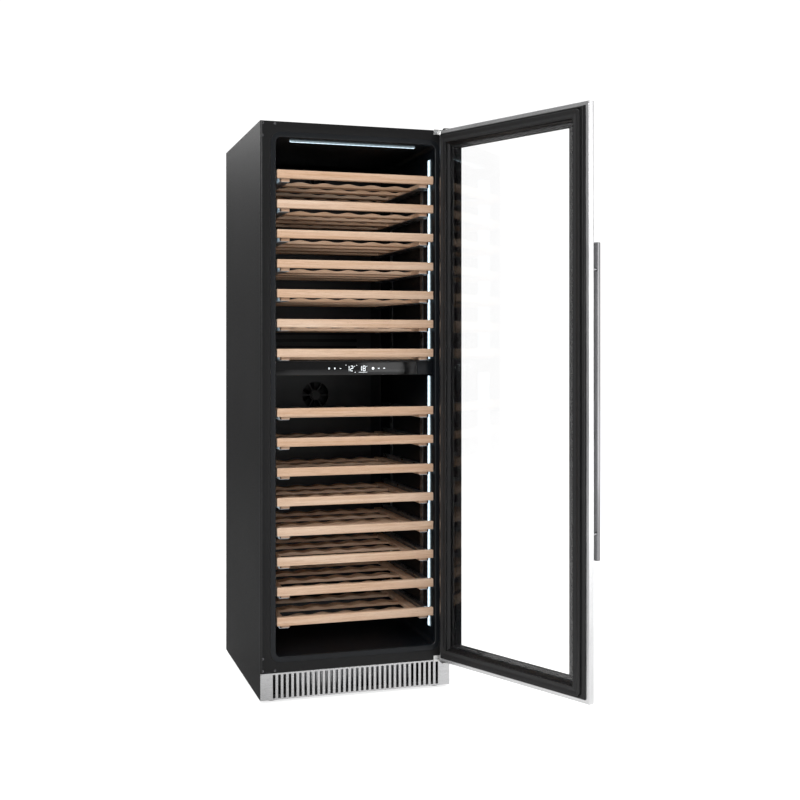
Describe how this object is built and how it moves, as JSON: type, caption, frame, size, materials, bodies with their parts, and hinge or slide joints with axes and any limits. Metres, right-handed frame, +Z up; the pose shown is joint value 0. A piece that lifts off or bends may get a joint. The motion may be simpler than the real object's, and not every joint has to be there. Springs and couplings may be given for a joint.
{
  "type": "wine cooler",
  "caption": "Tall two-zone wine cooler with a glass door, sliding beech shelves, touch panel, interior lights and a slotted kick grille.",
  "frame": {"origin": "on the floor under the middle of the cabinet; the underside mount is 8 mm above it", "axes": "front faces -Y, +X to the right seen from the front, +Z up; the door is stored open 113.5 degrees as pictured"},
  "size_m": [0.8511, 1.1903, 1.7315],
  "materials": {
    "painted_steel": "satin black paint",
    "black_frame": "satin black paint",
    "galvanised": "galvanised steel",
    "foam": "rigid polyurethane foam",
    "liner": "satin moulded plastic",
    "touch_glass": "glossy black glass",
    "light_lens": "milky lens over cool white LEDs",
    "duct_plastic": "satin black plastic",
    "tube_aluminium": "bare aluminium",
    "black_steel": "black enamel",
    "black_plastic": "matte",
    "stainless": "brushed",
    "bracket_steel": "plated",
    "slide_steel": "zinc plated",
    "beech": "planed light beech",
    "door_plastic": "satin",
    "gasket_rubber": "matte",
    "clear_glass": "clear"
  },
  "bodies": {
    "cabinet": {"left_side_panel": "painted_steel", "right_side_panel": "painted_steel", "top_panel": "painted_steel", "front_frame": "black_frame", "back_panel": "galvanised", "insulation_foam": "foam", "inner_liner": "liner", "zone_divider": "liner", "control_panel": "touch_glass", "ceiling_light": "light_lens", "upper_light_left": "light_lens", "upper_light_right": "light_lens", "lower_light_left": "light_lens", "lower_light_right": "light_lens", "upper_air_duct": "duct_plastic", "lower_air_duct": "duct_plastic", "upper_evaporator": "tube_aluminium", "lower_evaporator": "tube_aluminium", "condenser": "tube_aluminium", "compressor": "black_steel", "base_pan": "black_steel", "condenser_fan_shroud": "black_plastic", "power_inlet": "black_plastic", "kick_grille": "stainless", "top_hinge_bracket": "bracket_steel", "bottom_hinge_bracket": "bracket_steel", "upper_slides_left": "slide_steel", "upper_slides_right": "slide_steel", "lower_slides_left": "slide_steel", "lower_slides_right": "slide_steel"},
    "door": {"door_trim": "stainless", "door_inner_frame": "door_plastic", "door_gasket": "gasket_rubber", "outer_glass": "clear_glass", "inner_glass": "clear_glass", "handle_bar": "stainless", "handle_post_upper": "stainless", "handle_post_lower": "stainless"},
    "shelf_upper_1": {"shelf_upper_1": "beech"},
    "shelf_upper_2": {"shelf_upper_2": "beech"},
    "shelf_upper_3": {"shelf_upper_3": "beech"},
    "shelf_upper_4": {"shelf_upper_4": "beech"},
    "shelf_upper_5": {"shelf_upper_5": "beech"},
    "shelf_upper_6": {"shelf_upper_6": "beech"},
    "shelf_upper_7": {"shelf_upper_7": "beech"},
    "shelf_lower_1": {"shelf_lower_1": "beech"},
    "shelf_lower_2": {"shelf_lower_2": "beech"},
    "shelf_lower_3": {"shelf_lower_3": "beech"},
    "shelf_lower_4": {"shelf_lower_4": "beech"},
    "shelf_lower_5": {"shelf_lower_5": "beech"},
    "shelf_lower_6": {"shelf_lower_6": "beech"},
    "shelf_lower_7": {"shelf_lower_7": "beech"},
    "shelf_lower_8": {"shelf_lower_8": "beech"},
    "upper_fan": {"upper_fan": "black_plastic"},
    "lower_fan": {"lower_fan": "black_plastic"},
    "condenser_fan": {"condenser_fan": "black_plastic"},
    "foot_front_left": {"foot_front_left": "black_plastic"},
    "foot_front_right": {"foot_front_right": "black_plastic"},
    "foot_rear_left": {"foot_rear_left": "black_plastic"},
    "foot_rear_right": {"foot_rear_right": "black_plastic"}
  },
  "joints": [
    {"name": "door_hinge", "type": "hinge", "parent": "cabinet", "child": "door", "pos_m": [0.2775, -0.343, 0.907], "axis": [0, 0, 1], "range_deg": [-113.5, 11.5]},
    {"name": "shelf_upper_1_slide", "type": "slide", "parent": "cabinet", "child": "shelf_upper_1", "axis": [0, -1, 0], "range_m": [0, 0.36]},
    {"name": "shelf_upper_2_slide", "type": "slide", "parent": "cabinet", "child": "shelf_upper_2", "axis": [0, -1, 0], "range_m": [0, 0.36]},
    {"name": "shelf_upper_3_slide", "type": "slide", "parent": "cabinet", "child": "shelf_upper_3", "axis": [0, -1, 0], "range_m": [0, 0.36]},
    {"name": "shelf_upper_4_slide", "type": "slide", "parent": "cabinet", "child": "shelf_upper_4", "axis": [0, -1, 0], "range_m": [0, 0.36]},
    {"name": "shelf_upper_5_slide", "type": "slide", "parent": "cabinet", "child": "shelf_upper_5", "axis": [0, -1, 0], "range_m": [0, 0.36]},
    {"name": "shelf_upper_6_slide", "type": "slide", "parent": "cabinet", "child": "shelf_upper_6", "axis": [0, -1, 0], "range_m": [0, 0.36]},
    {"name": "shelf_upper_7_slide", "type": "slide", "parent": "cabinet", "child": "shelf_upper_7", "axis": [0, -1, 0], "range_m": [0, 0.36]},
    {"name": "shelf_lower_1_slide", "type": "slide", "parent": "cabinet", "child": "shelf_lower_1", "axis": [0, -1, 0], "range_m": [0, 0.36]},
    {"name": "shelf_lower_2_slide", "type": "slide", "parent": "cabinet", "child": "shelf_lower_2", "axis": [0, -1, 0], "range_m": [0, 0.36]},
    {"name": "shelf_lower_3_slide", "type": "slide", "parent": "cabinet", "child": "shelf_lower_3", "axis": [0, -1, 0], "range_m": [0, 0.36]},
    {"name": "shelf_lower_4_slide", "type": "slide", "parent": "cabinet", "child": "shelf_lower_4", "axis": [0, -1, 0], "range_m": [0, 0.36]},
    {"name": "shelf_lower_5_slide", "type": "slide", "parent": "cabinet", "child": "shelf_lower_5", "axis": [0, -1, 0], "range_m": [0, 0.36]},
    {"name": "shelf_lower_6_slide", "type": "slide", "parent": "cabinet", "child": "shelf_lower_6", "axis": [0, -1, 0], "range_m": [0, 0.36]},
    {"name": "shelf_lower_7_slide", "type": "slide", "parent": "cabinet", "child": "shelf_lower_7", "axis": [0, -1, 0], "range_m": [0, 0.36]},
    {"name": "shelf_lower_8_slide", "type": "slide", "parent": "cabinet", "child": "shelf_lower_8", "axis": [0, -1, 0], "range_m": [0, 0.36]},
    {"name": "upper_fan_spin", "type": "hinge", "parent": "cabinet", "child": "upper_fan", "pos_m": [0, 0.2423, 1.601], "axis": [0, 1, 0], "continuous": true},
    {"name": "lower_fan_spin", "type": "hinge", "parent": "cabinet", "child": "lower_fan", "pos_m": [0, 0.2423, 0.89032], "axis": [0, 1, 0], "continuous": true},
    {"name": "condenser_fan_spin", "type": "hinge", "parent": "cabinet", "child": "condenser_fan", "pos_m": [-0.13, 0.1324, 0.0898], "axis": [0, 1, 0], "continuous": true},
    {"name": "foot_front_left_level", "type": "slide", "parent": "cabinet", "child": "foot_front_left", "axis": [0, 0, -1], "range_m": [0, 0.02]},
    {"name": "foot_front_right_level", "type": "slide", "parent": "cabinet", "child": "foot_front_right", "axis": [0, 0, -1], "range_m": [0, 0.02]},
    {"name": "foot_rear_left_level", "type": "slide", "parent": "cabinet", "child": "foot_rear_left", "axis": [0, 0, -1], "range_m": [0, 0.02]},
    {"name": "foot_rear_right_level", "type": "slide", "parent": "cabinet", "child": "foot_rear_right", "axis": [0, 0, -1], "range_m": [0, 0.02]}
  ]
}
